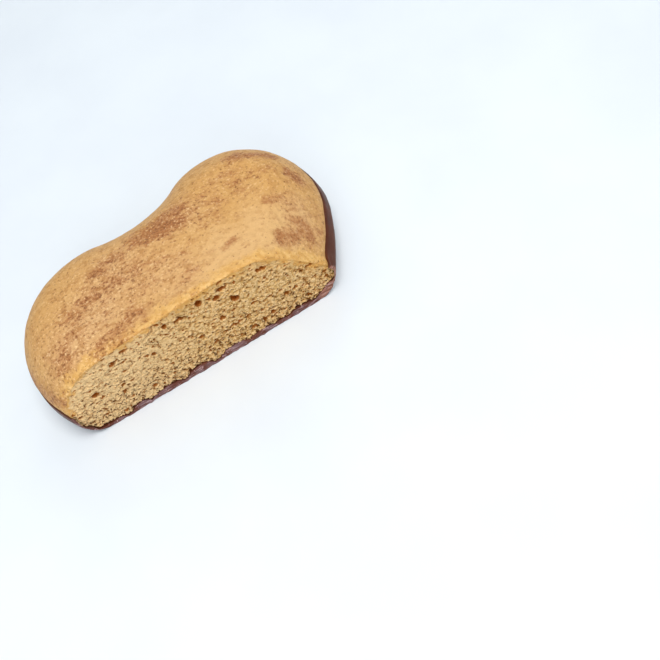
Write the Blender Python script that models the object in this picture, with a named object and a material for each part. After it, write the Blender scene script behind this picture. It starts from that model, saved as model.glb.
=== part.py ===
# A heart-shaped soft gingerbread with its tip cut off, standing in a coat of chocolate.
# Metres. The base lies on z = 0, the two lobes point to +Y and the cut faces -Y.
# The whole heart is modelled first, and a knife then takes its tip off, as on the real one.

import math

import bmesh
import bpy
from mathutils import Vector

# The heart seen from above. Its outline is made of arcs that run into each other.
HEART_WIDTH = 0.070
LEFT_LOBE_RADIUS = 0.0199
RIGHT_LOBE_RADIUS = 0.0180
NOTCH_RADIUS = 0.0194
SIDE_RADIUS = 0.0875
SIDE_START = math.radians(-36)
TIP_RADIUS = 0.0080
LOBE_OFFSET = (HEART_WIDTH - LEFT_LOBE_RADIUS - RIGHT_LOBE_RADIUS) / 2

# The heart seen from the side. It is widest low down, over a rounded base.
THICKNESS = 0.0204
WIDEST_HEIGHT = 0.0068
BASE_ROUNDING = 0.0048

# The shoulder, from the widest outline in to the full thickness. A low power makes it a slope and
# a high one makes it round: the heart rose roundest at its left and at the back.
LEFT_SHOULDER_DEPTH = 0.0178
RIGHT_SHOULDER_DEPTH = 0.0109
LEFT_SHOULDER_POWER = 2.7
RIGHT_SHOULDER_POWER = 1.45
SHOULDER_BLEND = 0.0117
POWER_TOWARDS_BACK = 19.4
LEAST_POWER = 1.1

# The top isn't level: it rises and falls a little from left to right.
WAVE_HEIGHT = 0.0006
WAVE_LENGTH = 0.0363
WAVE_PHASE = 1.58
WAVE_FADE = 0.0078
WAVE_EASE = 1.5

# The chocolate under the heart and up its sides, and the gap that keeps the two solids apart.
COAT_THICKNESS = 0.0015
COAT_HEIGHT = 0.0095
GAP = 0.0003

# The knife's cut across the heart, below its middle.
CUT_AT = -0.0167
CUT_ANGLE = math.radians(-13.5)
KNIFE_LENGTH = 0.12
KNIFE_DEPTH = 0.08

# How finely the surfaces are divided. The dome's rings lie closest together at its rim.
POINT_SPACING = 0.0017
WALL_LEVELS = 5
UPPER_LEVELS = 2
DOME_RINGS = 13
DOME_CROWDING = 1.4
CENTRE = Vector((0.0, -0.008))
SHARP_ANGLE = math.radians(40)


def arc(centre, radius, start, end, side=1):
    """Points and outward normals along an arc. On a concave arc, side is -1."""
    steps = max(2, round(abs(end - start) * radius / POINT_SPACING))
    rows = []
    for i in range(steps):
        angle = start + (end - start) * i / steps
        ray = Vector((math.cos(angle), math.sin(angle)))
        rows.append((centre + ray * radius, ray * side))
    return rows


def heart_outline():
    """The widest outline, clockwise from the middle of the notch, as (point, outward normal)."""
    right_reach = RIGHT_LOBE_RADIUS + NOTCH_RADIUS
    left_reach = LEFT_LOBE_RADIUS + NOTCH_RADIUS
    notch = Vector((0, math.sqrt(right_reach**2 - LOBE_OFFSET**2)))
    right = Vector((LOBE_OFFSET, 0))
    left = Vector((-LOBE_OFFSET, notch.y - math.sqrt(left_reach**2 - LOBE_OFFSET**2)))
    to_right = math.atan2(right.y - notch.y, right.x)
    to_left = math.atan2(left.y - notch.y, left.x)
    right_start = to_right + math.pi
    left_end = to_left + math.pi

    # The long side arcs start where the lobes end, and the tip's arc touches both.
    right_ray = Vector((math.cos(SIDE_START), math.sin(SIDE_START)))
    left_ray = Vector((-right_ray.x, right_ray.y))
    right_side = right + right_ray * (RIGHT_LOBE_RADIUS - SIDE_RADIUS)
    left_side = left + left_ray * (LEFT_LOBE_RADIUS - SIDE_RADIUS)
    apart = right_side - left_side
    down = Vector((-apart.y, apart.x)).normalized()
    down *= math.copysign(math.sqrt((SIDE_RADIUS - TIP_RADIUS) ** 2 - (apart.length / 2) ** 2), -down.y)
    tip = (right_side + left_side) / 2 + down
    to_tip_right = math.atan2(tip.y - right_side.y, tip.x - right_side.x)
    to_tip_left = math.atan2(tip.y - left_side.y, tip.x - left_side.x)
    left_side_end = math.atan2(left_ray.y, left_ray.x)

    return (
        arc(notch, NOTCH_RADIUS, -math.pi / 2, to_right, side=-1)
        + arc(right, RIGHT_LOBE_RADIUS, right_start, SIDE_START)
        + arc(right_side, SIDE_RADIUS, SIDE_START, to_tip_right)
        + arc(tip, TIP_RADIUS, to_tip_right, to_tip_left)
        + arc(left_side, SIDE_RADIUS, to_tip_left, left_side_end)
        + arc(left, LEFT_LOBE_RADIUS, left_side_end + 2 * math.pi, left_end)
        + arc(notch, NOTCH_RADIUS, to_left, -math.pi / 2, side=-1)
    )


def distance_inside(outline, point):
    """How far the point lies inside the widest outline."""
    nearest = math.inf
    for i, (end, _) in enumerate(outline):
        start = outline[i - 1][0]
        along = end - start
        share = min(1, max(0, (point - start).dot(along) / along.length_squared))
        nearest = min(nearest, (point - start - along * share).length)
    return nearest


def shoulder(place):
    """The shoulder's depth and power over this place."""
    left = (1 - math.tanh(place.x / SHOULDER_BLEND)) / 2
    depth = RIGHT_SHOULDER_DEPTH + (LEFT_SHOULDER_DEPTH - RIGHT_SHOULDER_DEPTH) * left
    power = RIGHT_SHOULDER_POWER + (LEFT_SHOULDER_POWER - RIGHT_SHOULDER_POWER) * left
    return depth, max(LEAST_POWER, power + POWER_TOWARDS_BACK * place.y)


def dome_height(place, inset):
    """The height of the top surface over this place, which lies this far inside the outline."""
    depth, power = shoulder(place)
    share = min(1, inset / depth)
    rise = (1 - (1 - share) ** power) ** (1 / power)
    wave = WAVE_HEIGHT * math.sin(2 * math.pi * place.x / WAVE_LENGTH + WAVE_PHASE)
    fade = min(1, inset / WAVE_FADE) ** WAVE_EASE
    return WIDEST_HEIGHT + (THICKNESS - WIDEST_HEIGHT) * rise + wave * fade


def wall_inset(place, height, skin):
    """How far the wall lies inside the outline at this height, measured skin below the surface."""
    if height < WIDEST_HEIGHT:
        drop = (WIDEST_HEIGHT - height) / (WIDEST_HEIGHT - skin)
        return BASE_ROUNDING - (BASE_ROUNDING - skin) * math.sqrt(max(0, 1 - drop**2))
    depth, power = shoulder(place)
    rise = (height - WIDEST_HEIGHT) / (THICKNESS - WIDEST_HEIGHT)
    return skin + depth * (1 - (1 - rise**power) ** (1 / power))


def wall_heights(bottom, top):
    """Levels from the base up round its corner to the widest outline, and on up the side."""
    levels = []
    for i in range(WALL_LEVELS + 1):
        turn = math.pi / 2 * i / WALL_LEVELS
        levels.append(WIDEST_HEIGHT - (WIDEST_HEIGHT - bottom) * math.cos(turn))
    for i in range(1, UPPER_LEVELS + 1):
        levels.append(WIDEST_HEIGHT + (top - WIDEST_HEIGHT) * i / UPPER_LEVELS)
    return levels


def wall_ring(bm, outline, height, skin):
    ring = []
    for point, normal in outline:
        place = point - normal * wall_inset(point, height, skin)
        ring.append(bm.verts.new((place.x, place.y, height)))
    return ring


def dome_ring(bm, outline, start_ring, share):
    """A ring on the top surface, this share of the way from the start ring to the centre."""
    ring = []
    for vert in start_ring:
        place = vert.co.xy.lerp(CENTRE, share)
        height = dome_height(place, distance_inside(outline, place))
        ring.append(bm.verts.new((place.x, place.y, height)))
    return ring


def loft(bm, rings):
    """Joins each ring to the next with a band of quads."""
    for lower, upper in zip(rings, rings[1:]):
        for i in range(len(lower)):
            bm.faces.new((lower[i - 1], lower[i], upper[i], upper[i - 1]))


def finish(bm, name, material, collection):
    bmesh.ops.recalc_face_normals(bm, faces=bm.faces)
    mesh = bpy.data.meshes.new(name)
    bm.to_mesh(mesh)
    bm.free()
    mesh.shade_smooth()
    mesh.set_sharp_from_angle(angle=SHARP_ANGLE)
    mesh.materials.append(material)
    body = bpy.data.objects.new(name, mesh)
    collection.objects.link(body)
    return body


def make_gingerbread(outline, material, collection):
    """The baked heart: let into the coat below, and bare above it."""
    skin = COAT_THICKNESS + GAP
    shelf = COAT_HEIGHT + GAP
    bm = bmesh.new()
    rings = [wall_ring(bm, outline, height, skin) for height in wall_heights(skin, shelf)]
    rim = wall_ring(bm, outline, shelf, 0)
    rings.append(rim)
    for i in range(1, DOME_RINGS):
        rings.append(dome_ring(bm, outline, rim, (i / DOME_RINGS) ** DOME_CROWDING))
    bm.faces.new(rings[0])
    loft(bm, rings)
    middle = bm.verts.new((*CENTRE, dome_height(CENTRE, distance_inside(outline, CENTRE))))
    last = rings[-1]
    for i in range(len(last)):
        bm.faces.new((last[i - 1], last[i], middle))
    return finish(bm, "gingerbread", material, collection)


def make_chocolate_base(outline, material, collection):
    """The coat: a thin floor under the heart, turned up round its side."""
    bm = bmesh.new()
    outer = [wall_ring(bm, outline, height, 0) for height in wall_heights(0, COAT_HEIGHT)]
    inner_heights = wall_heights(COAT_THICKNESS, COAT_HEIGHT)
    inner = [wall_ring(bm, outline, height, COAT_THICKNESS) for height in inner_heights]
    bm.faces.new(outer[0])
    loft(bm, outer + inner[::-1])
    bm.faces.new(inner[0])
    return finish(bm, "chocolate_base", material, collection)


def make_knife(collection):
    """A block whose +Y face is the cut."""
    bm = bmesh.new()
    bmesh.ops.create_cube(bm, size=1)
    bmesh.ops.translate(bm, verts=bm.verts, vec=(0, -0.5, 0))
    bmesh.ops.scale(bm, verts=bm.verts, vec=(KNIFE_LENGTH, KNIFE_DEPTH, 4 * THICKNESS))
    mesh = bpy.data.meshes.new("knife")
    bm.to_mesh(mesh)
    bm.free()
    knife = bpy.data.objects.new("knife", mesh)
    knife.location = (0, CUT_AT, 0)
    knife.rotation_euler = (0, 0, CUT_ANGLE)
    knife.display_type = "WIRE"
    knife.hide_render = True
    collection.objects.link(knife)
    return knife


def cut_with(body, knife):
    cut = body.modifiers.new("cut", "BOOLEAN")
    cut.operation = "DIFFERENCE"
    cut.solver = "EXACT"
    cut.object = knife


def make_material(name, colour, roughness):
    material = bpy.data.materials.new(name)
    material.use_nodes = True
    shader = material.node_tree.nodes["Principled BSDF"]
    shader.inputs["Base Color"].default_value = (*colour, 1)
    shader.inputs["Roughness"].default_value = roughness
    shader.inputs["Metallic"].default_value = 0
    material.diffuse_color = (*colour, 1)
    return material


def stand_on_origin(bodies, helpers, collection):
    """Puts the middle of the cut heart's box over the origin, with everything under one empty."""
    bpy.context.view_layer.update()
    graph = bpy.context.evaluated_depsgraph_get()
    corners = [Vector(corner) for body in bodies for corner in body.evaluated_get(graph).bound_box]
    low = [min(corner[axis] for corner in corners) for axis in range(3)]
    high = [max(corner[axis] for corner in corners) for axis in range(3)]
    stand = bpy.data.objects.new("gingerbread_heart_origin", None)
    stand.location = (-(low[0] + high[0]) / 2, -(low[1] + high[1]) / 2, -low[2])
    collection.objects.link(stand)
    for piece in bodies + helpers:
        piece.parent = stand


def main():
    for old in list(bpy.data.objects):
        bpy.data.objects.remove(old, do_unlink=True)
    pieces = bpy.data.collections.new("gingerbread_heart")
    cutters = bpy.data.collections.new("cutters")
    for collection in (pieces, cutters):
        bpy.context.scene.collection.children.link(collection)

    baked = make_material("baked_gingerbread", (0.60, 0.36, 0.15), 0.75)
    chocolate = make_material("chocolate", (0.13, 0.055, 0.035), 0.35)
    outline = heart_outline()
    bodies = [
        make_gingerbread(outline, baked, pieces),
        make_chocolate_base(outline, chocolate, pieces),
    ]
    knife = make_knife(cutters)
    for body in bodies:
        cut_with(body, knife)
    stand_on_origin(bodies, [knife], pieces)


main()
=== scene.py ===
import math

import bpy
import numpy as np
from mathutils import Matrix, Vector, kdtree
from mathutils.geometry import delaunay_2d_cdt


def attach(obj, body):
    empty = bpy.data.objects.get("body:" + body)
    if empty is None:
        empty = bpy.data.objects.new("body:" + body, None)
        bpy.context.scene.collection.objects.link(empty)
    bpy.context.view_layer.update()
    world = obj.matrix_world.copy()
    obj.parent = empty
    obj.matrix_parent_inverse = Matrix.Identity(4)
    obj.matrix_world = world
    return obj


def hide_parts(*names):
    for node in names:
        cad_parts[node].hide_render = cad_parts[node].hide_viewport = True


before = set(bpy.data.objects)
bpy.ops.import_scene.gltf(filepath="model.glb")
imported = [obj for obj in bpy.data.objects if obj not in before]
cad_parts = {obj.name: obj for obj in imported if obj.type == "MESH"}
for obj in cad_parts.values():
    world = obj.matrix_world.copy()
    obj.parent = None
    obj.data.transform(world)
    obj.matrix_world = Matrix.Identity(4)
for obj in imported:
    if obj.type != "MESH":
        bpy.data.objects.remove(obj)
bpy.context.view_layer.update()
mm = 0.001
print("frame loaded")

# The cut heart as it was baked. Lengths in mm and angles in degrees.
# Its outline is made of arcs, and it is widest low down, over a rounded base.
heart = {
    "width": 70,
    "leftLobe": 19.9,
    "rightLobe": 18.0,
    "notch": 19.4,
    "sideRadius": 87.5,
    "sideStart": -36,
    "sideReach": 22,  # how far down each long side is followed
    "thickness": 20.4,
    "widestHeight": 6.8,
    "baseRounding": 4.8,
    "leftShoulder": 17.8,
    "rightShoulder": 10.9,
    "leftPower": 2.7,  # a high power makes a round shoulder, a low one a slope
    "rightPower": 1.45,
    "leastPower": 1.1,
    "powerToBack": 0.0194,
    "shoulderBlend": 11.7,
    "wave": 0.6,
    "waveLength": 36.3,
    "wavePhase": 1.58,
    "waveFade": 7.8,
    "waveEase": 1.5,
    "cutAt": -16.7,
    "cutAngle": -13.5,
    "outlineStep": 0.1,
}

# Where the photo was taken from, in mm over the cookie's own box, and the lens on a 36 mm sensor.
photoCamera = {
    "stand": (-29.23, -103.93, 132.67),
    "aim": (10.58, -30.03, 8.0),
    "roll": 19.16,
    "lens": 44.44,
    "sensor": 36,
    "image": 660,
}


def smooth(value, low, high):
    share = np.clip((value - low) / (high - low), 0, 1)
    return share * share * (3 - 2 * share)


def softNoise(places, cell, seed):
    # smooth noise from -1 to 1 through a box of random numbers, one number a cell
    size = 32
    table = np.random.default_rng(seed).uniform(-1, 1, (size, size, size))
    grid = np.asarray(places) / cell
    low = np.floor(grid).astype(int)
    part = grid - low
    part = part * part * (3 - 2 * part)
    total = np.zeros(len(grid))
    for corner in np.ndindex(2, 2, 2):
        weight = np.prod(np.where(corner, part, 1 - part), axis=1)
        spot = (low + corner) % size
        total += weight * table[spot[:, 0], spot[:, 1], spot[:, 2]]
    return total


def arcRun(centre, radius, start, end, side=1):
    steps = round(abs(end - start) * radius / heart["outlineStep"])
    angles = np.linspace(start, end, steps, endpoint=False)
    rays = np.stack([np.cos(angles), np.sin(angles)], axis=1)
    return centre + rays * radius, rays * side


def heartOutline():
    # the widest outline from the left side over both lobes to the right side, with outward normals
    offset = (heart["width"] - heart["leftLobe"] - heart["rightLobe"]) / 2
    notch = np.array([0, math.sqrt((heart["rightLobe"] + heart["notch"]) ** 2 - offset**2)])
    right = np.array([offset, 0.0])
    drop = math.sqrt((heart["leftLobe"] + heart["notch"]) ** 2 - offset**2)
    left = np.array([-offset, notch[1] - drop])
    toRight = math.atan2(right[1] - notch[1], right[0])
    toLeft = math.atan2(left[1] - notch[1], left[0])
    start = math.radians(heart["sideStart"])
    reach = math.radians(heart["sideReach"])
    rightRay = np.array([math.cos(start), math.sin(start)])
    leftRay = rightRay * (-1, 1)
    rightSide = right + rightRay * (heart["rightLobe"] - heart["sideRadius"])
    leftSide = left + leftRay * (heart["leftLobe"] - heart["sideRadius"])
    leftStart = -math.pi - start
    runs = [
        arcRun(leftSide, heart["sideRadius"], leftStart + reach, leftStart),
        arcRun(left, heart["leftLobe"], leftStart + 2 * math.pi, toLeft + math.pi),
        arcRun(notch, heart["notch"], toLeft, toRight, side=-1),
        arcRun(right, heart["rightLobe"], toRight + math.pi, start),
        arcRun(rightSide, heart["sideRadius"], start, start - reach),
    ]
    return np.vstack([run[0] for run in runs]), np.vstack([run[1] for run in runs])


outline, outward = heartOutline()
knife = np.array([0, heart["cutAt"]])
cutTurn = math.radians(heart["cutAngle"])
alongCut = np.array([math.cos(cutTurn), math.sin(cutTurn)])
intoCut = np.array([-math.sin(cutTurn), math.cos(cutTurn)])
keptOutline = outline[(outline - knife) @ intoCut > 0]
boxMiddle = (keptOutline.min(axis=0) + keptOutline.max(axis=0)) / 2


def behindCut(places):
    return (np.asarray(places)[..., :2] - knife) @ intoCut


def onCutPlane(places):
    # a place as (along the cut, height)
    places = np.asarray(places)
    return np.stack([(places[..., :2] - knife) @ alongCut, places[..., 2]], axis=-1)


def inFrame(places):
    # from the heart's own mm to the frame's metres
    moved = np.array(places, float)
    moved[..., :2] -= boxMiddle
    return moved * mm


def shoulderAt(places):
    x, y = places[..., 0], places[..., 1]
    left = (1 - np.tanh(x / heart["shoulderBlend"])) / 2
    depth = heart["rightShoulder"] + (heart["leftShoulder"] - heart["rightShoulder"]) * left
    power = heart["rightPower"] + (heart["leftPower"] - heart["rightPower"]) * left
    return depth, np.maximum(heart["leastPower"], power + heart["powerToBack"] * y)


def domeHeight(places, inset):
    depth, power = shoulderAt(places)
    share = np.clip(inset / depth, 0, 1)
    rise = (1 - (1 - share) ** power) ** (1 / power)
    turn = 2 * math.pi * places[..., 0] / heart["waveLength"] + heart["wavePhase"]
    fade = np.clip(inset / heart["waveFade"], 0, 1) ** heart["waveEase"]
    rising = heart["thickness"] - heart["widestHeight"]
    return heart["widestHeight"] + rising * rise + heart["wave"] * np.sin(turn) * fade


def insetOf(places):
    # how far each place lies inside the outline
    flat = places.reshape(-1, 2)
    nearest = np.empty(len(flat))
    for start in range(0, len(flat), 2000):
        gaps = flat[start : start + 2000, None, :] - outline[None, :, :]
        nearest[start : start + 2000] = np.sqrt((gaps**2).sum(axis=2).min(axis=1))
    return nearest.reshape(places.shape[:-1])


def crowdedShares(count, crowding, reach):
    # shares from 0 to 1 that lie closer together near both ends
    middle = (np.arange(count) + 0.5) / count
    nearEnd = np.minimum(middle, 1 - middle)
    widths = 1 - (1 - crowding) * np.exp(-((nearEnd / reach) ** 2))
    return np.concatenate([[0], np.cumsum(widths)]) / widths.sum()


def ringRow(insets, heights, clip, shares):
    # the outline moved in by the insets, cut off by the knife and divided by the shares
    rows = np.column_stack([outline - outward * insets[:, None], heights])
    behind = behindCut(rows) - clip
    inside = np.flatnonzero(behind > 0)
    first, last = inside[0], inside[-1]

    def crossing(outer, inner):
        share = behind[outer] / (behind[outer] - behind[inner])
        return rows[outer] + (rows[inner] - rows[outer]) * share

    kept = np.vstack([crossing(first - 1, first), rows[first : last + 1], crossing(last + 1, last)])
    steps = np.sqrt((np.diff(kept[:, :2], axis=0) ** 2).sum(axis=1))
    run = np.concatenate([[0], np.cumsum(steps)])
    return np.column_stack([np.interp(shares * run[-1], run, kept[:, axis]) for axis in range(3)])


def fanPlaces(ring, shares, slide):
    # rows in plan from a ring to the cut, whose ends slide along the cut towards its middle
    first = ring[0, :2] + alongCut * slide
    last = ring[-1, :2] - alongCut * slide
    target = first + (last - first) * np.linspace(0, 1, len(ring))[:, None]
    return [ring[:, :2] * (1 - share) + target * share for share in shares]


def gridNormals(grid):
    down = np.gradient(grid, axis=0)
    across = np.gradient(grid, axis=1)
    normals = np.cross(down, across)
    return normals / np.maximum(np.linalg.norm(normals, axis=2, keepdims=True), 1e-9)


def gridFaces(rows, columns, start=0, flip=False):
    # quads of a grid of vertices numbered row by row
    index = start + np.arange(rows * columns).reshape(rows, columns)
    quads = np.stack([index[:-1, :-1], index[1:, :-1], index[1:, 1:], index[:-1, 1:]], axis=-1)
    quads = quads.reshape(-1, 4)
    return quads[:, ::-1] if flip else quads


def nearestTo(points, places):
    tree = kdtree.KDTree(len(points))
    for index, point in enumerate(points):
        tree.insert((*point, 0) if len(point) == 2 else point, index)
    tree.balance()
    return np.array([tree.find((*place, 0) if len(place) == 2 else place)[2] for place in places])


def densify(line, step):
    pieces = []
    for start, end in zip(line, line[1:]):
        count = max(1, int(np.linalg.norm(end - start) / step))
        pieces.append(start + (end - start) * np.linspace(0, 1, count, endpoint=False)[:, None])
    return np.vstack(pieces + [line[-1:]])


def insideOutline(loop, places):
    inside = np.zeros(len(places), bool)
    x, y = places[:, 0], places[:, 1]
    for start, end in zip(loop, np.roll(loop, -1, axis=0)):
        if start[1] == end[1]:
            continue
        crosses = (start[1] > y) != (end[1] > y)
        at = start[0] + (y - start[1]) / (end[1] - start[1]) * (end[0] - start[0])
        inside ^= crosses & (x < at)
    return inside


# The camera's axes, which also place what is read off the photo.
stand = np.array(photoCamera["stand"])
aim = np.array(photoCamera["aim"])
forward = (aim - stand) / np.linalg.norm(aim - stand)
level = np.cross(forward, (0, 0, 1))
level /= np.linalg.norm(level)
downward = np.cross(forward, level)
roll = math.radians(photoCamera["roll"])
cameraRight = math.cos(roll) * level + math.sin(roll) * downward
cameraDown = math.cos(roll) * downward - math.sin(roll) * level
focal = photoCamera["lens"] / photoCamera["sensor"] * photoCamera["image"]
imageMiddle = photoCamera["image"] / 2


def rowPlace(places):
    # the heart's own mm to mm over the cookie's box
    return np.asarray(places, float) - (*boxMiddle, 0)


def toPhoto(places):
    seen = rowPlace(places) - stand
    away = seen @ forward
    across = seen @ cameraRight / away
    down = seen @ cameraDown / away
    return np.stack([imageMiddle + focal * across, imageMiddle + focal * down], axis=-1)


def pixelOnCut(x, y):
    # where a pixel's ray meets the plane of the cut, as (along the cut, height)
    across, down = (x - imageMiddle) / focal, (y - imageMiddle) / focal
    ray = forward + cameraRight * across + cameraDown * down
    start = stand + (*boxMiddle, 0)
    share = -((start[:2] - knife) @ intoCut) / (ray[:2] @ intoCut)
    return onCutPlane(start + ray * share)


def pixelOnCrust(x, y, places, normals):
    # the place on the crust that the pixel shows
    gaps = np.linalg.norm(toPhoto(places) - (x, y), axis=1)
    facing = ((stand - rowPlace(places)) * normals).sum(axis=1) > 0
    return places[np.argmin(np.where(facing, gaps, np.inf))]


# Where the chocolate ends on the side of the heart, in mm.
lip = {
    "low": 8.8,
    "high": 10.6,
    "rise": (-17.0, 8.0),  # where along the heart's length the lip climbs
    "waver": 0.3,
    "ripple": 0.12,
    "wornAtCut": 0.7,
    "wornReach": 0.7,
}


def lipHeights():
    climb = smooth(outline[:, 1], *lip["rise"])
    flat = np.column_stack([outline, np.zeros(len(outline))])
    waver = lip["waver"] * softNoise(flat, 6.0, 11) + lip["ripple"] * softNoise(flat, 1.7, 12)
    heights = lip["low"] + (lip["high"] - lip["low"]) * climb + waver * smooth(outline[:, 1], -14.0, -8.0)
    return heights - lip["wornAtCut"] * np.exp(-np.maximum(behindCut(outline), 0) / lip["wornReach"])


# What the body's surface is divided into, and how it is worn round its edges, in mm.
body = {
    "columns": 260,
    "endCrowding": 0.35,
    "endReach": 0.018,
    "floorRows": 6,
    "cornerRows": 8,
    "wallRows": 30,
    "topRows": 70,
    "wallDepth": 6.0,
    "slide": 4.0,
    "skin": 0.4,  # how far the coated part lies inside the coat's outside
    "clip": 0.34,  # how far the coated part ends behind the cut, at the floor and at the sides
    "sideClip": 0.1,
    "stepForward": 0.22,
    "lipFade": 1.6,
    "edgeWidth": 0.8,  # the crust rolls over the upper edge of the cut, which is nicked all along
    "edgeDrop": 0.3,
    "nickSize": 1.0,
    "nickDepth": 0.8,
    "nickReach": 0.7,
    "edgeSwell": 0.5,
    "swellReach": 6.0,
    "cutSpacing": 0.142,
}
shares = crowdedShares(body["columns"], body["endCrowding"], body["endReach"])


def coatedClip(heights):
    side = smooth(heights, 2.0, 4.5)
    bare = smooth(heights, lip["low"] - 0.5, lip["low"] - 0.1)
    return (body["clip"] * (1 - side) + body["sideClip"] * side) * (1 - bare)


def cornerRow(turn, skin, clip):
    # a row round the base's corner: turn 0 is the widest outline, 90 degrees the floor
    inset = heart["baseRounding"] - (heart["baseRounding"] - skin) * math.cos(turn)
    height = heart["widestHeight"] - (heart["widestHeight"] - skin) * math.sin(turn)
    full = np.ones(len(outline))
    return ringRow(full * inset, full * height, full * clip, shares)


def bodyGrid():
    rows = []
    floorRing = cornerRow(math.pi / 2, body["skin"], body["clip"])
    for plan in fanPlaces(floorRing, np.linspace(1, 0, body["floorRows"], endpoint=False), body["slide"]):
        rows.append(np.column_stack([plan, np.full(len(plan), body["skin"])]))
    for turn in np.linspace(math.pi / 2, 0, body["cornerRows"], endpoint=False):
        height = heart["widestHeight"] - (heart["widestHeight"] - body["skin"]) * math.sin(turn)
        rows.append(cornerRow(turn, body["skin"], coatedClip(height)))
    depth, power = shoulderAt(outline)
    lastTurn = np.arccos((1 - body["wallDepth"] / depth) ** (power / 2))
    edges = lipHeights()
    for share in np.linspace(0, 1, body["wallRows"]):
        turn = lastTurn * share
        inset = depth * (1 - np.cos(turn) ** (2 / power))
        heights = domeHeight(outline - outward * inset[:, None], inset)
        inset = inset + body["skin"] * (1 - smooth(heights, edges - 0.3, edges + body["lipFade"]))
        rows.append(ringRow(inset, heights, coatedClip(heights), shares))
    topShares = np.linspace(0, 1, body["topRows"] + 1)[1:]
    topShares = topShares + 0.12 * np.sin(math.pi * topShares) * topShares
    for plan in fanPlaces(rows[-1], topShares, body["slide"]):
        rows.append(np.column_stack([plan, domeHeight(plan, insetOf(plan))]))
    return np.array(rows)


def rollEdge(grid):
    # rolls the crust over the upper edge of the cut
    upper = grid[body["floorRows"] + body["cornerRows"] :]
    behind = behindCut(upper)
    free = smooth(upper[..., 2], lip["low"], lip["low"] + body["lipFade"])
    inset = insetOf(upper[..., :2])
    swell = body["edgeSwell"] * np.exp(-((behind / body["swellReach"]) ** 2)) * smooth(inset, 1.0, 7.0)
    upper[..., 2] += swell
    share = 1 - np.clip(behind / body["edgeWidth"], 0, 1)
    drop = body["edgeDrop"] * (1 - np.sqrt(1 - share**2))
    places = upper.reshape(-1, 3)
    nicks = softNoise(places, body["nickSize"], 33) + 0.7 * softNoise(places, body["nickSize"] / 2, 34)
    nicks = np.maximum(nicks, 0).reshape(drop.shape) * (1 - smooth(behind, 0, body["nickReach"]))
    drop = (drop + body["nickDepth"] * nicks) * free
    upper -= gridNormals(upper) * drop[..., None]
    upper[..., :2] -= (behindCut(upper) - behind)[..., None] * intoCut
    return upper


def cutLoop(rows, columns):
    # the vertices round the cut: along the floor, up the right end, back over the top, down the left
    index = np.arange(rows * columns).reshape(rows, columns)
    return np.concatenate([index[0, :-1], index[:-1, -1], index[-1, :0:-1], index[:0:-1, 0]])


# Larger holes of the crumb, read off the photo: pixel, width and height in mm, depth in mm.
holes = [
    (199, 305, 1.1, 1.1, 1.0),
    (217, 299, 1.1, 0.9, 0.9),
    (236, 299, 1.3, 1.0, 1.1),
    (222, 290, 1.7, 0.7, 0.9),
    (262, 270.5, 1.6, 0.7, 0.8),
    (180, 321, 2.2, 0.6, 0.8),
    (165, 328, 1.1, 0.7, 0.9),
    (157, 326, 0.7, 0.6, 0.7),
    (224, 319, 0.8, 0.7, 0.8),
    (274, 313, 1.2, 0.8, 0.9),
    (266, 321, 0.7, 1.0, 0.7),
    (288, 294, 0.9, 0.7, 0.7),
    (309, 266, 1.3, 0.5, 0.8),
    (155, 355, 0.8, 0.7, 0.9),
    (113, 366, 1.0, 0.7, 0.9),
    (124, 352, 1.6, 0.4, 0.7),
    (96, 397, 1.2, 0.9, 0.9),
    (126, 392, 0.8, 0.8, 0.8),
    (236, 325, 2.0, 0.35, 0.6),
    (219, 342, 1.6, 0.5, 0.7),
    (190, 338, 1.4, 0.4, 0.6),
    (253, 304, 0.8, 0.6, 0.6),
    (209, 300, 0.8, 0.6, 0.7),
]


def holeDepths(places):
    wobble = np.column_stack([places, np.zeros(len(places))])
    shifts = np.column_stack([softNoise(wobble, 0.6, 31), softNoise(wobble, 0.6, 32)]) * 0.22
    deepest = np.zeros(len(places))
    for x, y, wide, tall, deep in holes:
        gap = (places + shifts - pixelOnCut(x, y)) / (wide * 0.68, tall * 0.85)
        far = np.linalg.norm(gap, axis=1)
        deepest = np.maximum(deepest, deep * (1 - smooth(far, 0.65, 1.05)))
    return deepest


# Brown dust on the crust, read off the photo: a stroke's two end pixels, width in mm, strength.
dustStrokes = [
    (136, 240, 176, 223, 2.8, 1.0),
    (157, 224, 174, 212, 2.8, 0.9),
    (282, 238, 300, 235, 2.3, 0.82),
    (299, 222, 310, 234, 2.6, 0.82),
    (289, 173, 301, 182, 1.9, 1.0),
    (232, 158, 272, 157, 1.9, 0.9),
    (266, 200, 284, 198, 1.1, 0.6),
    (226, 247, 233, 240, 1.0, 0.6),
    (184, 279, 196, 268, 1.5, 0.6),
    (92, 274, 118, 256, 2.2, 0.7),
    (108, 283, 140, 270, 2.4, 0.6),
    (70, 318, 92, 294, 2.8, 0.65),
    (104, 345, 140, 314, 3.0, 0.65),
    (60, 364, 70, 334, 3.0, 0.55),
    (88, 305, 118, 292, 2.0, 0.3),
    (196, 214, 232, 176, 5.5, 0.4),
    (224, 176, 290, 176, 4.5, 0.35),
    (90, 330, 165, 250, 8.0, 0.25),
    (290, 222, 318, 236, 4.0, 0.4),
    (284, 202, 312, 214, 4.0, 0.42),
]


# Where the crust is paler, as strokes of the same kind. The first stroke is painted highlight, the broad light on the
# top's centre; the others are crust baked paler.
paleAndHighlightStrokes = [
    (222, 262, 292, 214, 6.5, 1.0),
    (150, 318, 205, 285, 4.0, 0.5),
    (75, 345, 95, 318, 4.0, 0.3),
]


# Where the crust is coarser and more mottled.
coarseStrokes = [
    (74, 348, 120, 275, 8.0, 1.0),
    (110, 300, 170, 272, 6.0, 0.8),
    (140, 255, 185, 215, 4.0, 0.6),
    (292, 205, 312, 236, 3.5, 0.2),
]


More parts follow.
